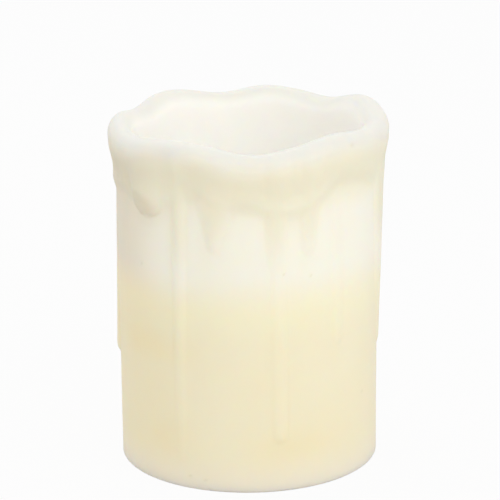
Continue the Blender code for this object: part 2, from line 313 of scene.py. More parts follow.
# Painted shade in the pits
PIT_SHADE_SHARE = 0.35
SOOT_SHARE = 0.7

# The wick's strands: number and facets, then radius and weave as shares of the wick's radius
STRANDS = 3
STRAND_ROWS = 230
STRAND_COLUMNS = 12
STRAND_RADIUS = 0.52
STRAND_ASIDE = 0.44
STRAND_OVER = 0.30

# The plies of a strand: number, depth as a share of its radius, and turns to one crossing
PLIES = 3
PLY_DEPTH = 0.07
PLY_TWIST = 5.0

# The burned end: the share of the length at which it begins, how much it thins, how much it frays
BURNED_FROM = 0.93
BURNED_THIN = 0.45
BURNED_FRAY = 0.12

# Heights above the pool between which the wick browns, chars and turns to ash
SCORCH_RISE = (0.5 * MM, 3.5 * MM)
CHAR_RISE = (3.0 * MM, 7.5 * MM)
ASH_RISE = (11.5 * MM, 14.0 * MM)
ASH_SHARE = 0.4

# The tab: its small roundings, its pressed ring, its crimps and its facets
TAB_FILLET = 0.5 * MM
TAB_MOUTH = 0.4 * MM
BEAD_RADIUS = 5.0 * MM
BEAD_WIDTH = 0.45 * MM
CRIMPS = 4
CRIMP_EDGE = 0.8 * MM
TAB_AROUND = 96

# The studio
FLOOR_REACH = 6.0
KEY_PLACE = (0.335, -0.475, 0.4)
KEY_SIZE = 0.6
FILL_PLACE = (-0.35, 0.35, 0.7)
FILL_SIZE = 0.5

# Facets of the fine wax
AROUND = 400
WALL_ROWS = 140
ROLL_ROWS = 15
WELL_ROWS = 11
CORNER_ROWS = 7
POOL_ROWS = 15
BASE_ROWS = 5


def linear(red, green, blue):
    """The linear colour of a picture's red, green and blue, each 0 to 255."""
    shares = (channel / 255 for channel in (red, green, blue))
    return tuple(c / 12.92 if c <= 0.04045 else ((c + 0.055) / 1.055) ** 2.4 for c in shares)


def length(label, note, default):
    """A property that holds a length in metres."""
    return FloatProperty(name=label, description=note, default=default, min=0, unit="LENGTH", precision=4)


def colour(label, note, default):
    """A property that holds a linear colour."""
    return FloatVectorProperty(
        name=label,
        description=note,
        default=default,
        size=3,
        min=0,
        max=1,
        subtype="COLOR",
    )


def number(label, note, default):
    """A property that holds a plain number."""
    return FloatProperty(name=label, description=note, default=default, min=0)


def angle(label, note, degrees):
    """A property that holds an angle, given in degrees and kept in radians."""
    return FloatProperty(name=label, description=note, default=math.radians(degrees), subtype="ANGLE")


class WaxSettings(PropertyGroup):
    """Sizes and colours of the wax."""

    body_radius: length("Body radius", "Radius of the wall near the base", 38.0 * MM)
    rim_height: length("Rim height", "Mean height of the melted rim", 101.6 * MM)
    wall: length("Wall", "Wax left beside the well", 4.6 * MM)
    well_depth: length("Well depth", "Mean rim down to the hardened pool", 44.6 * MM)
    lip_inset: length("Lip inset", "Crest of the lip, inwards from the wall's face", 1.4 * MM)
    lip_drop: length("Lip drop", "Crest of the lip down to its widest line", 4.5 * MM)
    collar_thickness: length("Collar thickness", "Unbroken coat just below the lip", 1.1 * MM)
    white: colour("White", "Thin wax of the well's wall, above the pool", linear(249, 244, 232))
    # Lip: painted shade, a greyer copy of the wax so that the upturned crest reads no brighter under the
    # lamps
    lip: colour("Lip", "Melted and set wax of the lip", linear(227, 227, 221))
    cream: colour("Cream", "Solid wax below the pool", linear(252, 239, 209))
    honey: colour("Honey", "Band of warm wax at the pool's level", linear(254, 243, 211))
    # Drip: painted shade, the darker warm tone under the lip's overhang and on thick wax
    drip_and_lip_shade: colour("Drip", "Thick wax of the collar and its drips", linear(238, 234, 210))
    # Amber: warmer patches of the solid wax, and the warm painted shade round its left side
    amber: colour("Amber", "Warmer patches and left side of the solid wax", linear(253, 231, 184))
    # Crease: painted shade round the left side, at the thick drop's edge and in the pits, and the real soot
    # stain in the pool
    shade_and_soot: colour("Crease", "Darker wax: edges, pits, left side, stain", linear(214, 204, 174))
    # Foot: painted light from the floor near the base; also the colour of the faint streaks up the wall
    foot: colour("Foot", "Wax near the base", linear(255, 238, 218))
    pool: colour("Pool", "Hardened pool in the well", linear(255, 252, 243))
    # Well: painted light, the wax in the well painted whiter for the light that fills it
    well: colour("Well", "Clean wax of the well's wall", linear(255, 254, 250))
    glow: length("Glow", "How far light travels in the wax", 6.0 * MM)


class WickSettings(PropertyGroup):
    """Sizes and colours of the wick."""

    radius: length("Radius", "Half the width of the braid", 1.3 * MM)
    stand: length("Stand", "Straight length above the pool", 9.0 * MM)
    curl_radius: length("Curl radius", "Radius of the burned end's curl", 4.5 * MM)
    curl_angle: angle("Curl angle", "How far the burned end has curled over", 58)
    curl_bearing: angle("Curl bearing", "The side to which it curls", 65)
    pitch: length("Pitch", "Length of one full crossing of the braid", 5.2 * MM)
    cotton: colour("Cotton", "Waxed cotton below the burned end", linear(226, 212, 176))
    scorched: colour("Scorched", "Cotton that the flame has browned", linear(92, 62, 38))
    char: colour("Char", "The burned end", linear(24, 21, 20))
    ash: colour("Ash", "Ash on the burned end", linear(92, 88, 84))


class TabSettings(PropertyGroup):
    """Sizes and colours of the steel tab."""

    bead: length("Bead", "Height of the ring pressed into the disc", 0.12 * MM)
    crimp: length("Crimp", "Depth of the four crimps in the collar", 0.14 * MM)
    steel: colour("Steel", "Tinned steel", linear(196, 195, 190))
    film: colour("Film", "Wax smeared on the steel", linear(226, 216, 190))


class StageSettings(PropertyGroup):
    """The camera, the lamps and the floor."""

    distance: length("Distance", "Camera to the middle of the candle", 760 * MM)
    aim_height: length("Aim height", "Height at which the camera aims", 61.4 * MM)
    aim_aside: length("Aim aside", "How far right of the axis the camera stands", 0.62 * MM)
    pitch: angle("Pitch", "How far the camera looks down", 16.993)
    roll: angle("Roll", "The camera's turn about its own line of sight", -0.457)
    lens: number("Lens", "Focal length in millimetres on a 36 mm sensor", 185.9)
    sky: number("Sky", "Strength of the even light from all round", 0.90)
    key: number("Key", "Power of the lamp at the front right, in watts", 1.05)
    fill: number("Fill", "Power of the high lamp at the back left, in watts", 0.8)
    floor: colour("Floor", "Plain floor", linear(215, 215, 215))
    floor_white: number("Floor white", "How much of the floor's light to the camera is plain white", 0.93)


def eased(share):
    """0 to 1 with no kink at either end: 3 t squared less 2 t cubed, with t held between 0 and 1."""
    share = np.clip(share, 0, 1)
    return share * share * (3 - 2 * share)


def turn_from(bearing, other):
    """Signed angle from one bearing to another, by the short way round."""
    return (bearing - other + 180) % 360 - 180


def around(points, bearing):
    """Values at some bearings of the smooth closed curve through (bearing, value) points. Each stretch is
    the cubic that meets its end values with the slopes of the chords across their neighbours."""
    places, values = np.array(points, float).T
    places = np.concatenate([places[-2:] - 360, places, places[:2] + 360])
    values = np.concatenate([values[-2:], values, values[:2]])
    bearing = (np.asarray(bearing, float) - places[2]) % 360 + places[2]
    i = np.clip(np.searchsorted(places, bearing, side="right") - 1, 1, len(places) - 3)
    span = places[i + 1] - places[i]
    slope1 = (values[i + 1] - values[i - 1]) / (places[i + 1] - places[i - 1]) * span
    slope2 = (values[i + 2] - values[i]) / (places[i + 2] - places[i]) * span
    t = (bearing - places[i]) / span
    return (
        (2 * t**3 - 3 * t**2 + 1) * values[i]
        + (t**3 - 2 * t**2 + t) * slope1
        + (3 * t**2 - 2 * t**3) * values[i + 1]
        + (t**3 - t**2) * slope2
    )


def unevenness(across, along, cells_across, cells_along, seed):
    """Smooth random values from -1 to 1. The square 0 to 1 by 0 to 1 is split into cells, each corner has a
    random value, and a point blends its cell's four corners with eased weights. It repeats past the
    square's edges."""
    corners = np.random.default_rng(seed).uniform(-1, 1, (cells_across, cells_along))
    x, y = across * cells_across, along * cells_along
    column, row = np.floor(x).astype(int), np.floor(y).astype(int)
    right, up = eased(x - column), eased(y - row)
    c0, c1 = column % cells_across, (column + 1) % cells_across
    r0, r1 = row % cells_along, (row + 1) % cells_along
    low = corners[c0, r0] * (1 - right) + corners[c1, r0] * right
    high = corners[c0, r1] * (1 - right) + corners[c1, r1] * right
    return low * (1 - up) + high * up


def run_thickness(wax, run, bearing, depth):
    """Thickness of one run at some bearings and depths below the rim's mean. Across, it is one less the
    square of the share of the half width, to the power crisp, and its tip is half an ellipse. FILLET rounds
    the hollow where it meets the wall."""
    tip_centre = run.tip_depth - run.tip_round
    share = np.clip((depth - RUN_START) / (tip_centre - RUN_START), 0, 1)
    centre = run.start_bearing + (run.tip_bearing - run.start_bearing) * share
    half = (run.top_width + (run.tip_width - run.top_width) * share) / 2
    thickness = run.top_thickness + (run.tip_thickness - run.top_thickness) * share
    aside = np.radians(turn_from(bearing, centre)) * wax.body_radius / half
    past = np.maximum(depth - tip_centre, 0) / run.tip_round
    inside = np.maximum(1 - aside**2 - past**2, 0)
    return thickness * (inside**2 / (inside + FILLET)) ** run.crisp


def coat(wax, bearing, height):
    """Thickness of the wax that has run down and set on the wall: the collar and every run, each to the
    power 3, added up, and the cube root of that, so that the thickest wins and they blend where they
    meet."""
    depth = wax.rim_height - height
    collar = wax.collar_thickness * eased(0.5 + (around(COLLAR_EDGE, bearing) - depth) / COLLAR_FADE)
    total = collar**BLEND_POWER
    for run in RUNS:
        total = total + run_thickness(wax, run, bearing, depth) ** BLEND_POWER
    return total ** (1 / BLEND_POWER) * eased((height - FOOT_EDGE) / COAT_FOOT)


def quarter(centre, radii, start, end, rows):
    """Radii and heights of points on an ellipse's arc, between two angles in degrees."""
    angles = np.radians(np.linspace(start, end, rows))
    return np.stack([centre[0] + radii[0] * np.cos(angles), centre[1] + radii[1] * np.sin(angles)])


def straight(start, end, rows):
    """Radii and heights of points spaced evenly from one (radius, height) to another, without the last."""
    return np.linspace(start, end, rows, endpoint=False).T


def pool_height(wax, radius):
    """Height of the hardened pool, which climbs a little where it meets the wick."""
    floor = wax.rim_height - wax.well_depth
    return floor + POOL_COLLAR_HEIGHT * (1 - eased(radius / POOL_COLLAR_RADIUS)) ** 2


def pillar_section(wax, wick):
    """Radii and heights of the section of the pillar as it was cast, round a closed line: down the wick's
    bore, out along the base, up the wall, over the lip, down the well and in along the pool."""
    body, widest = wax.body_radius, wax.rim_height - wax.lip_drop
    crest, well = body - wax.lip_inset, body - wax.wall
    mouth = well - LIP_OVERHANG_INSIDE
    floor = wax.rim_height - wax.well_depth
    bore = wick.radius + FIT_GAP
    collar_bore = bore + TAB_COLLAR_WALL + FIT_GAP
    seat, seat_top = TAB_RADIUS + FIT_GAP, TAB_SET_BACK + TAB_THICKNESS + FIT_GAP
    collar_top = TAB_COLLAR_TOP + FIT_GAP
    in_pool = np.geomspace(well - WELL_CORNER, bore, POOL_ROWS)
    pocket = [(bore, collar_top), (collar_bore, collar_top), (collar_bore, seat_top), (seat, seat_top)]
    stations = [
        straight((bore, floor), (bore, collar_top), 3),
        np.array(pocket).T,
        straight((seat, 0), (body - FOOT_EDGE, 0), BASE_ROWS),
        quarter((body - FOOT_EDGE, FOOT_EDGE), (FOOT_EDGE, FOOT_EDGE), -90, -18, 4),
        straight((body, FOOT_EDGE), (body, widest), WALL_ROWS),
        quarter((crest, widest), (wax.lip_inset, wax.lip_drop), 0, 90, ROLL_ROWS),
        quarter((crest, widest), (crest - mouth, wax.lip_drop), 90, 180, ROLL_ROWS)[:, 1:],
        straight((well, widest), (well, floor + WELL_CORNER), WELL_ROWS)[:, 1:],
        quarter((well - WELL_CORNER, floor + WELL_CORNER), (WELL_CORNER, WELL_CORNER), 0, -84, CORNER_ROWS),
        np.stack([in_pool, pool_height(wax, in_pool)]),
    ]
    return np.concatenate(stations, axis=1)


def melted(wax, radius, height, bearing):
    """Radii and heights to which the pillar's points have gone, and the coat on each. Its rim has sagged in
    waves, which die away down to the well's corner, its lip has flared, and wax coats its wall."""
    widest = wax.rim_height - wax.lip_drop
    crest, mouth = wax.body_radius - wax.lip_inset, wax.body_radius - wax.wall - LIP_OVERHANG_INSIDE
    floor = wax.rim_height - wax.well_depth
    reach = wax.well_depth - WELL_CORNER
    raised = height > floor + WELL_CORNER
    outside = (radius >= crest) & (height > 0)
    wave = around(RIM_WAVE, bearing) * eased(1 - (wax.rim_height - height) / reach)
    flare = around(LIP_FLARE, bearing) * (1 - eased((widest - height) / LIP_TUCK))
    wax_on_wall = coat(wax, bearing, np.minimum(height, widest))
    outward = np.clip((radius - crest) / wax.lip_inset, 0, 1)
    near_mouth = eased(1 - (widest - height) / (wax.well_depth / 2))
    inward = np.clip((crest - radius) / (crest - mouth), 0, 1)
    wander = np.where(raised, around(MOUTH_WANDER, bearing) * near_mouth * inward, 0)
    new_radius = radius + np.where(outside, (wax_on_wall + flare) * outward, wander)
    return new_radius, height + np.where(raised, wave, 0), np.where(outside, wax_on_wall, 0)


def pits(bearing, height, wax):
    """0 to 1, how deep in a pit each point lies: a bell shape about each pit's middle."""
    depth = np.zeros(np.broadcast(bearing, height).shape)
    for pit in PITS:
        aside = np.radians(turn_from(bearing, pit.bearing)) * wax.body_radius
        depth = np.maximum(depth, np.exp(-(aside**2 + (height - pit.height) ** 2) / pit.radius**2))
    return depth


def layered(layers, bearing, height, wax):
    """The sum of some layers of smooth random relief."""
    across, along = bearing / 360 + 0.5, height / wax.rim_height
    return sum(unevenness(across, along, each.across, each.along, each.seed) * each.rise for each in layers)


def bell(spot, bearing, height):
    """1 in the middle of a spot, and less by a bell curve round it."""
    aside, up = turn_from(bearing, spot.bearing) / spot.spread, (height - spot.height) / spot.reach
    return np.exp(-(aside**2) - up**2)


def relief(wax, bearing, height, outside):
    """How far the surface stands out from the smooth shape: faint upright streaks on the wall, lumps in the
    collar, level wrinkles on the lip, a rough patch and pits. The inside of the well swells a little."""
    depth = wax.rim_height - height
    on_lip = 1 - eased((depth - wax.lip_drop) / WRINKLE_FADE)
    in_collar = eased(depth / LUMP_RISE) * (1 - eased((depth - LUMP_END) / LUMP_FADE))
    total = layered(WALL_STREAKS, bearing, height, wax) * (1 - on_lip)
    total = total + layered(COLLAR_LUMPS, bearing, height, wax) * in_collar
    total = total + layered(LIP_WRINKLES, bearing, height, wax) * on_lip
    total = total + layered(SCAR_GRAIN, bearing, height, wax) * bell(SCAR, bearing, height)
    total = total - pits(bearing, height, wax) * PIT_DEPTH
    return np.where(outside, total, layered(WELL_SWELLS, bearing, height, wax))


def blurred(values, columns, rows):
    """Each value's mean with the eight a few columns and rows off, twice over."""
    shifts = [(row, column) for row in (-rows, 0, rows) for column in (-columns, 0, columns)]
    for _ in range(2):
        values = sum(np.roll(values, shift, axis=(0, 1)) for shift in shifts) / len(shifts)
    return values


def outward_normals(points):
    """Unit normals of a grid that closes on itself both ways: the cross product of its two central
    differences."""
    up = np.roll(points, -1, axis=0) - np.roll(points, 1, axis=0)
    across = np.roll(points, -1, axis=1) - np.roll(points, 1, axis=1)
    normals = np.cross(across, up)
    return normals / np.maximum(np.linalg.norm(normals, axis=-1, keepdims=True), 1e-12)


def cylinder_points(radius, height, bearing):
    """Points from radii, heights and bearings in degrees."""
    turn = np.radians(bearing)
    return np.stack(np.broadcast_arrays(radius * np.sin(turn), -radius * np.cos(turn), height), axis=-1)


def wax_tones(wax, bearing, height, wax_on_wall):
    """For the outside: the shares of the warm painted shade under the lip, of the painted shade at the thick
    drop's edge, and of the lip's grey wax, itself painted shade. The shade under the lip comes in below the
    lip's crest and stays a little way down the wall. It goes on down where the coat is thick and in the
    streaks, as painted shade for the dimmer light through thicker wax, and fades there too."""
    depth = wax.rim_height - height
    under_lip = eased((depth - LIP_EDGE + layered(LIP_WAVER, bearing, height, wax)) / LIP_SHADE)
    band = 1 - eased((depth - UNDER_LIP_SHADE_END) / UNDER_LIP_SHADE_FADE)
    thick = blurred(np.minimum(wax_on_wall / THICK_COAT, 1), *THICK_BLUR)
    warm = np.maximum(band, thick * (1 - eased((depth - DRIP_END) / DRIP_FADE)))
    for streak in STREAKS:
        fade = 1 - eased((depth - STREAK_START) / (streak.end - STREAK_START))
        aside = turn_from(bearing, streak.bearing) / streak.spread
        warm = np.maximum(warm, streak.share * fade * np.exp(-(aside**2)))
    drop = run_thickness(wax, THICK_DROP, bearing, depth) / MM
    edge = np.maximum(drop - np.roll(drop, (SHADE_STEPS, SHADE_STEPS), axis=(0, 1)), 0)
    shade = blurred(edge, *SHADE_BLUR) * eased((depth - SHADE_TOP) / SHADE_FADE)
    return under_lip * warm, under_lip * shade, 1 - under_lip


def left_share(bearing, start, width):
    """0 at the front, the right and the back, and up to 1 round the left."""
    return eased((-np.sin(np.radians(bearing)) - start) / width)


def warm_patches_and_left_shade(bearing, height):
    """0 to 1, how warm the solid wax is: a warm painted shade round the left side, and warmer wax in each
    patch.
    """
    share = WARM_SHADE_SHARE * left_share(bearing, *WARM_SHADE_LEFT)
    for patch in PATCHES:
        share = np.maximum(share, patch.share * bell(patch, bearing, height))
    return share


def wax_surface(wax, wick):
    """A grid of points over all of the wax, with its tones and its pits. The rows follow the pillar's
    section and the columns go round it. Each point is moved along its normal by the relief."""
    radius, height = pillar_section(wax, wick)[:, :, None]
    bearing = np.linspace(-180, 180, AROUND, endpoint=False)[None, :]
    radius, height, bearing = np.broadcast_arrays(radius, height, bearing)
    outside = (radius >= wax.body_radius - wax.lip_inset) & (height > FOOT_EDGE)
    floor = wax.rim_height - wax.well_depth
    in_well = (radius < wax.body_radius - wax.lip_inset) & (height > floor - FOOT_EDGE)
    new_radius, new_height, wax_on_wall = melted(wax, radius, height, bearing)
    points = cylinder_points(new_radius, new_height, bearing)
    standing = np.where(outside | in_well, relief(wax, bearing, height, outside), 0)
    calm = np.where(in_well, eased((radius - wick.radius * 2) / WICK_CALM), eased(height / BASE_CALM))
    points = points + outward_normals(points) * (standing * calm)[..., None]
    depth = wax.rim_height - height
    tone, shade, pale = wax_tones(wax, bearing, height, wax_on_wall)
    # The tone, shade, lip, left and pit shares carry painted shade, and the well's share leads to the well's
    # whiter wall, painted light
    return points, {
        "tone": np.where(outside, tone, 0),
        "shade": np.where(outside, shade, 0),
        "lip": np.where(outside, pale, 1),
        "left": left_share(bearing, *SHADED_LEFT),
        "warm": warm_patches_and_left_shade(bearing, height),
        "pit": np.where(outside, pits(bearing, height, wax), 0),
        "well": np.where(in_well, eased(depth / INNER_SHADE), 0),
        "soot": np.where(in_well, 1 - eased((radius - wick.radius - FIT_GAP) / SOOT_REACH), 0),
    }


def add_mesh(name, points, faces, attributes=None):
    """A smooth mesh object at the origin, with a named number on each point for each attribute."""
    mesh = bpy.data.meshes.new(name)
    mesh.from_pydata(points.reshape(-1, 3).tolist(), [], faces)
    for label, values in (attributes or {}).items():
        stored = mesh.attributes.new(label, "FLOAT", "POINT")
        stored.data.foreach_set("value", np.ascontiguousarray(values, np.float32).ravel())
    mesh.shade_smooth()
    made = bpy.data.objects.new(name, mesh)
    bpy.context.scene.collection.objects.link(made)
    return made


def grid_faces(rows, columns, looped, first=0):
    """Faces of a grid of points whose columns go round and close. Its rows close too where it is looped,
    and otherwise end in two poles, the points after the grid's own."""
    index = np.arange(rows * columns).reshape(rows, columns) + first
    low = index if looped else index[:-1]
    high = np.roll(index, -1, axis=0) if looped else index[1:]
    corners = [low, np.roll(low, -1, axis=1), np.roll(high, -1, axis=1), high]
    faces = np.stack(corners, axis=-1).reshape(-1, 4).tolist()
    if not looped:
        start, end = first + rows * columns, first + rows * columns + 1
        bottom = np.stack([np.roll(index[0], -1), index[0], np.full(columns, start)], axis=-1)
        top = np.stack([index[-1], np.roll(index[-1], -1), np.full(columns, end)], axis=-1)
        faces += bottom.tolist() + top.tolist()
    return faces


class Value:
    """A shader socket that takes part in expressions. Each operator adds the Math node that works it
    out."""

    def __init__(self, finish, socket):
        self.finish = finish
        self.socket = socket

    def maths(self, operation, first, second):
        return self.finish.node("ShaderNodeMath", {"operation": operation}, {0: first, 1: second})

    def __add__(self, other):
        return self.maths("ADD", self, other)

    def __radd__(self, other):
        return self.maths("ADD", other, self)

    def __sub__(self, other):
        return self.maths("SUBTRACT", self, other)

    def __rsub__(self, other):
        return self.maths("SUBTRACT", other, self)

    def __mul__(self, other):
        return self.maths("MULTIPLY", self, other)


class Finish:
    """One material and the nodes of its Principled shader."""

    def __init__(self, name):
        self.material = bpy.data.materials.new(name)
        self.material.use_nodes = True
        self.tree = self.material.node_tree
        self.shader = self.tree.nodes["Principled BSDF"]

    def set(self, socket, value):
        """Links a value to a socket, or writes a number or a colour on it."""
        if isinstance(value, Value):
            self.tree.links.new(value.socket, socket)
        elif hasattr(value, "__len__") and socket.type == "RGBA":
            socket.default_value = (*value[:3], 1)
        else:
            socket.default_value = value

    def node(self, kind, settings, inputs, output=0):
        """Adds a node, sets it up, fills its sockets, and returns one of its outputs."""
        made = self.tree.nodes.new(kind)
        for label, value in settings.items():
            setattr(made, label, value)
        for label, value in inputs.items():
            self.set(made.inputs[label], value)
        return Value(self, made.outputs[output])

    def principled(self, **values):
        """Sets sockets of the shader. An underscore in a name stands for a space."""
        for label, value in values.items():
            self.set(self.shader.inputs[label.replace("_", " ")], value)

    def place(self):
        """The point's place on the candle, in metres."""
        return self.node("ShaderNodeTexCoord", {}, {}, "Object")

    def height(self):
        return self.node("ShaderNodeSeparateXYZ", {}, {0: self.place()}, "Z")

    def attribute(self, name):
        return self.node("ShaderNodeAttribute", {"attribute_name": name}, {}, "Fac")

    def rise(self, value, low, high):
        """0 below low, 1 above high, and smooth between."""
        return self.node(
            "ShaderNodeMapRange",
            {"interpolation_type": "SMOOTHSTEP"},
            {"Value": value, "From Min": low, "From Max": high},
        )

    def level_rise(self, level, base, span):
        """0 below the first height of a span above the base, 1 above the second, and smooth between."""
        return self.rise(level, base + span[0], base + span[1])

    def mix(self, share, first, second):
        """A blend of two colours."""
        return self.node("ShaderNodeMix", {"data_type": "RGBA"}, {0: share, 6: first, 7: second}, 2)

    def stretched(self, across, up):
        """The point's place with its level directions and its height scaled, for patterns that run up the
        wall."""
        return self.node("ShaderNodeMapping", {}, {"Vector": self.place(), "Scale": (across, across, up)})

    def noise(self, vector, scale, detail=2.0, roughness=0.5):
        inputs = {"Vector": vector, "Scale": scale, "Detail": detail, "Roughness": roughness}
        return self.node("ShaderNodeTexNoise", {}, inputs, "Fac")

    def bump(self, height, distance, strength=1.0, normal=None):
        inputs = {"Height": height, "Distance": distance, "Strength": strength}
        if normal:
            inputs["Normal"] = normal
        return self.node("ShaderNodeBump", {}, inputs, "Normal")


def wax_finish(wax):
    """Wax: white and bright where the well's wall is thin, cream where it is solid, with a honey band
    between them, and a little warmer and darker where the collar and drips are thick and under the lip,
    which is painted shade. Painted shade also lies round the left side, at the thick drop's edge and in the
    pits, and greys the lip; painted light whitens the well and lightens the base."""
    finish = Finish("candle_wax")
    floor = wax.rim_height - wax.well_depth
    height = finish.height()
    cloud = finish.noise(finish.place(), CLOUD_CELLS, 3.0)
    streak = finish.noise(finish.stretched(1.0, STREAK_STRETCH), STREAK_CELLS, 3.0)
    level = height + (cloud - 0.5) * CLOUD_SHIFT
    above = finish.level_rise(level, floor, WHITE_RISE)
    band = finish.level_rise(level, floor, HONEY_RISE) * (1 - finish.level_rise(level, floor, HONEY_FALL))
    shade = finish.rise(finish.attribute("shade"), 0.15, 1.3)
    broad = finish.rise(finish.noise(finish.place(), BROAD_CELLS, 2.0), 0.42, 0.68)
    cream = finish.mix(band * HONEY_SHARE, wax.cream, wax.honey)
    # Warm painted shade round the left side, with warmer patches and broad blotches of the wax
    cream = finish.mix(finish.attribute("warm") * WARM_SHARE + broad * BROAD_SHARE, cream, wax.amber)
    # Painted light from the floor, lighter towards the base
    cream = finish.mix((1 - finish.rise(height, 0, FLOOR_LIGHT_HEIGHT)) * FLOOR_LIGHT_SHARE, cream, wax.foot)
    # The lip's wax is painted greyer than the wall: painted shade
    white = finish.mix(finish.attribute("lip"), wax.white, wax.lip)
    # Painted shade under the lip's overhang and on the thick coat, drips and streaks
    white = finish.mix(finish.attribute("tone") * DRIP_AND_LIP_SHADE_SHARE, white, wax.drip_and_lip_shade)
    # Painted shade round the left side, below the lip
    left_shade = finish.attribute("left") * (1 - finish.attribute("lip")) * LEFT_SHADE_SHARE
    white = finish.mix(left_shade, white, wax.shade_and_soot)
    outside = finish.mix(above, cream, white)
    outside = finish.mix((1 - finish.rise(streak, 0.35, 0.62)) * STREAK_SHARE, outside, wax.foot)
    # Painted shade at the thick drop's lower left edge
    outside = finish.mix(shade * SHADE_SHARE, outside, wax.shade_and_soot)
    # Painted shade in the pits
    outside = finish.mix(finish.attribute("pit") * PIT_SHADE_SHARE, outside, wax.shade_and_soot)
    # Painted light: the well's wall above the pool is painted whiter
    pool = finish.mix(finish.level_rise(height, floor, WELL_LIGHT_RISE), wax.pool, wax.well)
    soot = finish.attribute("soot") * finish.rise(cloud, 0.3, 0.7)
    pool = finish.mix(soot * SOOT_SHARE, pool, wax.shade_and_soot)
    colour_here = finish.mix(finish.attribute("well"), outside, pool)
    fine = finish.noise(finish.place(), FINE_CELLS, 3.0, 0.6)
    skin = finish.bump(fine, 0.05 * MM, 0.4, finish.bump(streak, 0.06 * MM, 0.4))
    finish.principled(
        Base_Color=colour_here,
        Roughness=0.46 + (fine - 0.5) * 0.16 + (cloud - 0.5) * 0.12,
        Normal=skin,
        Subsurface_Weight=0.6,
        Subsurface_Radius=(1.0, 0.76, 0.48),
        Subsurface_Scale=wax.glow,
        IOR=1.44,
    )
    return finish.material


def wick_path(wax, wick, count):
    """Points up the wick's centreline, its heading at each, the level direction across it, and the distance
    along it. It is straight through the wax, then a circular arc to one side."""
    bend = wax.rim_height - wax.well_depth + POOL_COLLAR_HEIGHT + wick.stand
    start, arc = TAB_SET_BACK, wick.curl_radius * wick.curl_angle
    along = np.linspace(0, bend - start + arc, count)
    turned = np.maximum(along - (bend - start), 0) / wick.curl_radius
    reach = wick.curl_radius * (1 - np.cos(turned))
    height = start + np.minimum(along, bend - start) + wick.curl_radius * np.sin(turned)
    side = np.array([math.sin(wick.curl_bearing), -math.cos(wick.curl_bearing), 0])
    points = reach[:, None] * side + height[:, None] * np.array([0, 0, 1])
    heading = np.sin(turned)[:, None] * side + np.cos(turned)[:, None] * np.array([0, 0, 1])
    across = np.array([-side[1], side[0], 0])
    return points, heading, across, along


def braid_strand(wax, wick, phase):
    """Points over one of three strands of a flat braid. Its centre weaves from side to side as a sine, and
    over and under as a sine at twice the rate, and it thins at the burned end."""
    points, heading, across, along = wick_path(wax, wick, STRAND_ROWS)
    face = np.cross(heading, across)
    angle_along = math.tau * (along / wick.pitch + phase)
    share = along / along[-1]
    burned = eased((share - BURNED_FROM) / (1 - BURNED_FROM))
    thin = STRAND_RADIUS * wick.radius * (1 - BURNED_THIN * burned)
    weave = STRAND_ASIDE * wick.radius * np.sin(angle_along) * (1 + BURNED_FRAY * burned)
    over = STRAND_OVER * wick.radius * np.sin(2 * angle_along)
    centre = points + weave[:, None] * across + over[:, None] * face
    around_strand = np.linspace(0, math.tau, STRAND_COLUMNS, endpoint=False)
    twist = around_strand[None, :] + PLY_TWIST * angle_along[:, None]
    ply = 1 + PLY_DEPTH * np.cos(PLIES * twist)
    level, upright = np.cos(around_strand)[None, :, None], np.sin(around_strand)[None, :, None]
    ring = level * across + upright * face[:, None, :]
    rounded = np.sqrt(np.clip(1 - ((share - 0.5) * 2) ** 120, 0.15, 1))
    surface = centre[:, None, :] + ring * (thin * rounded)[:, None, None] * ply[..., None]
    return np.concatenate([surface.reshape(-1, 3), centre[:1], centre[-1:]])


def wick_finish(wax, wick):
    """Waxed cotton that goes brown and then black towards the burned end, with fibres along it."""
    finish = Finish("waxed_cotton")
    top = wax.rim_height - wax.well_depth + POOL_COLLAR_HEIGHT
    share = finish.height() + (finish.noise(finish.place(), FUZZ_CELLS, 3.0) - 0.5) * (3.0 * MM)
    scorched = finish.level_rise(share, top, SCORCH_RISE)
    charred = finish.level_rise(share, top, CHAR_RISE)
    fibre = finish.noise(finish.stretched(1.0, FIBRE_STRETCH), FIBRE_CELLS, 2.0)
    colour_here = finish.mix(charred, finish.mix(scorched, wick.cotton, wick.scorched), wick.char)
    ash = finish.level_rise(share, top, ASH_RISE) * finish.rise(fibre, 0.5, 0.7)
    colour_here = finish.mix(ash * ASH_SHARE, colour_here, wick.ash)
    finish.principled(
        Base_Color=colour_here,
        Roughness=0.5 + charred * 0.4,
        Normal=finish.bump(fibre, 0.12 * MM, 0.8),
    )
    return finish.material


def tab_section(tab, wick):
    """Radii and heights round the closed section of the tab: its disc, with a pressed ring, and its
    collar."""
    inner = wick.radius + FIT_GAP
    outer = inner + TAB_COLLAR_WALL
    top, low = TAB_SET_BACK + TAB_THICKNESS, TAB_SET_BACK
    edge = TAB_THICKNESS / 2
    radii = np.linspace(TAB_RADIUS - edge, outer + TAB_FILLET, 22)
    ring = tab.bead * np.exp(-(((radii - BEAD_RADIUS) / BEAD_WIDTH) ** 2))
    half = TAB_COLLAR_WALL / 2
    return np.concatenate(
        [
            quarter((TAB_RADIUS - edge, low + edge), (edge, edge), -90, 90, 9),
            np.stack([radii, top + ring])[:, 1:-1],
            quarter((outer + TAB_FILLET, top + TAB_FILLET), (TAB_FILLET, TAB_FILLET), 270, 180, 5),
            straight((outer, top + 2 * TAB_FILLET), (outer, TAB_COLLAR_TOP - half), 8),
            quarter(((inner + outer) / 2, TAB_COLLAR_TOP - half), (half, half), 0, 180, 7),
            straight((inner, TAB_COLLAR_TOP - TAB_COLLAR_WALL), (inner, low + TAB_FILLET), 8),
            quarter((inner + TAB_MOUTH, low + TAB_MOUTH), (TAB_MOUTH, TAB_MOUTH), 180, 270, 5),
            np.stack([radii[::-1], low + ring[::-1]])[:, 1:-1],
        ],
        axis=1,
    )


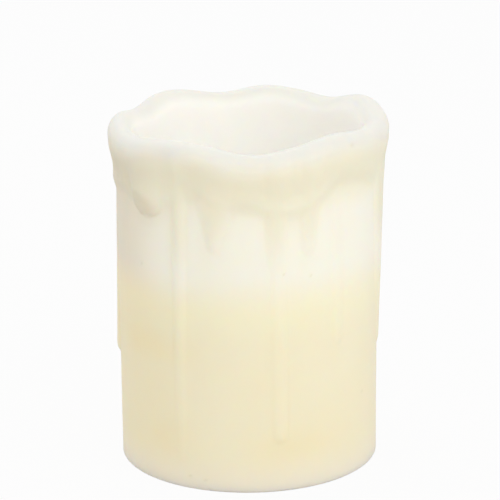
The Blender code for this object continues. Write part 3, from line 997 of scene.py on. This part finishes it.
def tab_surface(tab, wick):
    """A grid of points over the tab: its section turned about the axis, with four crimps pressed into its
    collar."""
    radius, height = tab_section(tab, wick)[:, :, None]
    bearing = np.linspace(-180, 180, TAB_AROUND, endpoint=False)[None, :]
    above_foot = eased((height - TAB_SET_BACK - 2 * CRIMP_EDGE) / CRIMP_EDGE)
    under_lip = 1 - eased((height - TAB_COLLAR_TOP + 1.5 * CRIMP_EDGE) / CRIMP_EDGE)
    pressed = np.maximum(np.cos(np.radians(CRIMPS * bearing)), 0) ** 6
    crimped = tab.crimp * above_foot * under_lip * pressed
    return cylinder_points(radius - crimped, height, bearing)


def tab_finish(tab):
    """Tinned steel with drawing marks round it and a thin smear of wax."""
    finish = Finish("tinned_steel")
    smear = finish.rise(finish.noise(finish.place(), SMEAR_CELLS, 3.0, 0.6), 0.5, 0.68)
    grain = finish.noise(finish.place(), GRAIN_CELLS, 2.0)
    finish.principled(
        Base_Color=finish.mix(smear * 0.6, tab.steel, tab.film),
        Metallic=1 - smear * 0.7,
        Roughness=0.28 + smear * 0.3 + (grain - 0.5) * 0.2,
        Normal=finish.bump(grain, 0.02 * MM, 0.4),
    )
    return finish.material


def place_piece(made, node, material):
    """Gives a finished piece its material, and puts it in its solid's place on the candle."""
    made.data.materials.append(material)
    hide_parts(node)
    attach(made, "root")


class CANDLE_OT_wax(Operator):
    """Makes the melted wax pillar with its lip, runs, well and pool"""

    bl_idname = "candle.wax"
    bl_label = "Melted Wax"

    def execute(self, context):
        wax, wick = context.scene.candle_wax, context.scene.candle_wick
        points, attributes = wax_surface(wax, wick)
        made = add_mesh("melted_wax", points, grid_faces(*points.shape[:2], looped=True), attributes)
        place_piece(made, "wax_body", wax_finish(wax))
        return {"FINISHED"}


class CANDLE_OT_wick(Operator):
    """Makes the braided wick with its burned end"""

    bl_idname = "candle.wick"
    bl_label = "Braided Wick"

    def execute(self, context):
        wax, wick = context.scene.candle_wax, context.scene.candle_wick
        strands = [braid_strand(wax, wick, strand / STRANDS) for strand in range(STRANDS)]
        faces = []
        for strand in range(STRANDS):
            faces += grid_faces(STRAND_ROWS, STRAND_COLUMNS, False, strand * len(strands[0]))
        made = add_mesh("braided_wick", np.concatenate(strands), faces)
        place_piece(made, "wick", wick_finish(wax, wick))
        return {"FINISHED"}


class CANDLE_OT_tab(Operator):
    """Makes the pressed steel tab that holds the wick's foot"""

    bl_idname = "candle.tab"
    bl_label = "Wick Tab"

    def execute(self, context):
        points = tab_surface(context.scene.candle_tab, context.scene.candle_wick)
        made = add_mesh("wick_tab", points, grid_faces(*points.shape[:2], looped=True))
        place_piece(made, "wick_sustainer", tab_finish(context.scene.candle_tab))
        return {"FINISHED"}


def add_floor(stage):
    """A wide plain floor. To the camera it is mostly white, and it keeps the candle's shadow."""
    mesh = bpy.data.meshes.new("floor")
    corners = [(x * FLOOR_REACH, y * FLOOR_REACH, 0) for x, y in ((-1, -1), (1, -1), (1, 1), (-1, 1))]
    mesh.from_pydata(corners, [], [(0, 1, 2, 3)])
    floor = bpy.data.objects.new("floor", mesh)
    bpy.context.scene.collection.objects.link(floor)
    finish = Finish("floor_paint")
    finish.principled(Base_Color=tuple(stage.floor), Roughness=0.9, Specular_IOR_Level=0.0)
    seen = finish.node("ShaderNodeLightPath", {}, {}, "Is Camera Ray")
    white = finish.node("ShaderNodeEmission", {}, {"Color": (1, 1, 1), "Strength": 1.0})
    paint = Value(finish, finish.shader.outputs[0])
    both = finish.node("ShaderNodeMixShader", {}, {0: seen * stage.floor_white, 1: paint, 2: white})
    finish.set(finish.tree.nodes["Material Output"].inputs["Surface"], both)
    mesh.materials.append(finish.material)


def add_sky(stage):
    """Even light from all round, which the camera and reflections see as white."""
    world = bpy.data.worlds.new("sky")
    bpy.context.scene.world = world
    world.use_nodes = True
    tree = world.node_tree
    ways = tree.nodes.new("ShaderNodeLightPath")
    background = tree.nodes["Background"]
    background.inputs["Color"].default_value = (1, 1, 1, 1)
    direct = tree.nodes.new("ShaderNodeMath")
    direct.operation = "MAXIMUM"
    tree.links.new(ways.outputs["Is Camera Ray"], direct.inputs[0])
    tree.links.new(ways.outputs["Is Glossy Ray"], direct.inputs[1])
    through = tree.nodes.new("ShaderNodeMath")
    through.operation = "MAXIMUM"
    tree.links.new(direct.outputs[0], through.inputs[0])
    tree.links.new(ways.outputs["Is Transmission Ray"], through.inputs[1])
    strength = tree.nodes.new("ShaderNodeMapRange")
    strength.inputs["To Min"].default_value = stage.sky
    strength.inputs["To Max"].default_value = 1.0
    tree.links.new(through.outputs[0], strength.inputs["Value"])
    tree.links.new(strength.outputs[0], background.inputs["Strength"])


def add_lamp(name, place, aim, size, power):
    """A square soft lamp at a place, turned to its aim."""
    light = bpy.data.lights.new(name, "AREA")
    light.size = size
    light.energy = power
    lamp = bpy.data.objects.new(name, light)
    lamp.location = place
    lamp.rotation_euler = (Vector(aim) - Vector(place)).to_track_quat("-Z", "Y").to_euler()
    bpy.context.scene.collection.objects.link(lamp)


def add_camera(stage):
    """The camera in front of the candle, looking a little down, with a slight roll."""
    data = bpy.data.cameras.new("camera")
    data.lens = stage.lens
    data.sensor_width = 36
    data.clip_start = 0.01
    data.clip_end = 50
    camera = bpy.data.objects.new("camera", data)
    bpy.context.scene.collection.objects.link(camera)
    back = Vector((0, -math.cos(stage.pitch), math.sin(stage.pitch)))
    place = Vector((stage.aim_aside, 0, stage.aim_height)) + back * stage.distance
    level = Vector((1, 0, 0))
    turn = Matrix.Rotation(stage.roll, 4, back)
    right, up = turn @ level, turn @ back.cross(level)
    camera.matrix_world = Matrix((right, up, back)).transposed().to_4x4()
    camera.location = place
    bpy.context.scene.camera = camera


class CANDLE_OT_stage(Operator):
    """Makes the floor, the soft light and the camera"""

    bl_idname = "candle.stage"
    bl_label = "Studio"

    def execute(self, context):
        stage = context.scene.candle_stage
        add_floor(stage)
        add_sky(stage)
        middle = (0, 0, stage.aim_height)
        add_lamp("key_lamp", KEY_PLACE, middle, KEY_SIZE, stage.key)
        add_lamp("fill_lamp", FILL_PLACE, middle, FILL_SIZE, stage.fill)
        add_camera(stage)
        context.scene.view_settings.view_transform = "Standard"
        return {"FINISHED"}


class CANDLE_PT_sidebar(Panel):
    """Lists the candle's settings and the pieces that they make"""

    bl_idname = "CANDLE_PT_sidebar"
    bl_label = "Melted Pillar Candle"
    bl_space_type = "VIEW_3D"
    bl_region_type = "UI"
    bl_category = "Candle"

    def draw(self, context):
        for group, operator in GROUPS.items():
            settings = getattr(context.scene, group)
            box = self.layout.box()
            for name in settings.bl_rna.properties.keys():
                if name not in ("rna_type", "name"):
                    box.prop(settings, name)
            box.operator(operator)


GROUPS = {
    "candle_wax": "candle.wax",
    "candle_wick": "candle.wick",
    "candle_tab": "candle.tab",
    "candle_stage": "candle.stage",
}
SETTINGS = {
    "candle_wax": WaxSettings,
    "candle_wick": WickSettings,
    "candle_tab": TabSettings,
    "candle_stage": StageSettings,
}
CLASSES = (
    *SETTINGS.values(),
    CANDLE_OT_wax,
    CANDLE_OT_wick,
    CANDLE_OT_tab,
    CANDLE_OT_stage,
    CANDLE_PT_sidebar,
)


def register():
    for cls in CLASSES:
        bpy.utils.register_class(cls)
    for name, settings in SETTINGS.items():
        setattr(bpy.types.Scene, name, PointerProperty(type=settings))


def unregister():
    for name in SETTINGS:
        delattr(bpy.types.Scene, name)
    for cls in reversed(CLASSES):
        bpy.utils.unregister_class(cls)


def main():
    register()
    bpy.ops.candle.wax()
    bpy.ops.candle.wick()
    bpy.ops.candle.tab()
    bpy.ops.candle.stage()


if __name__ == "__main__":
    main()
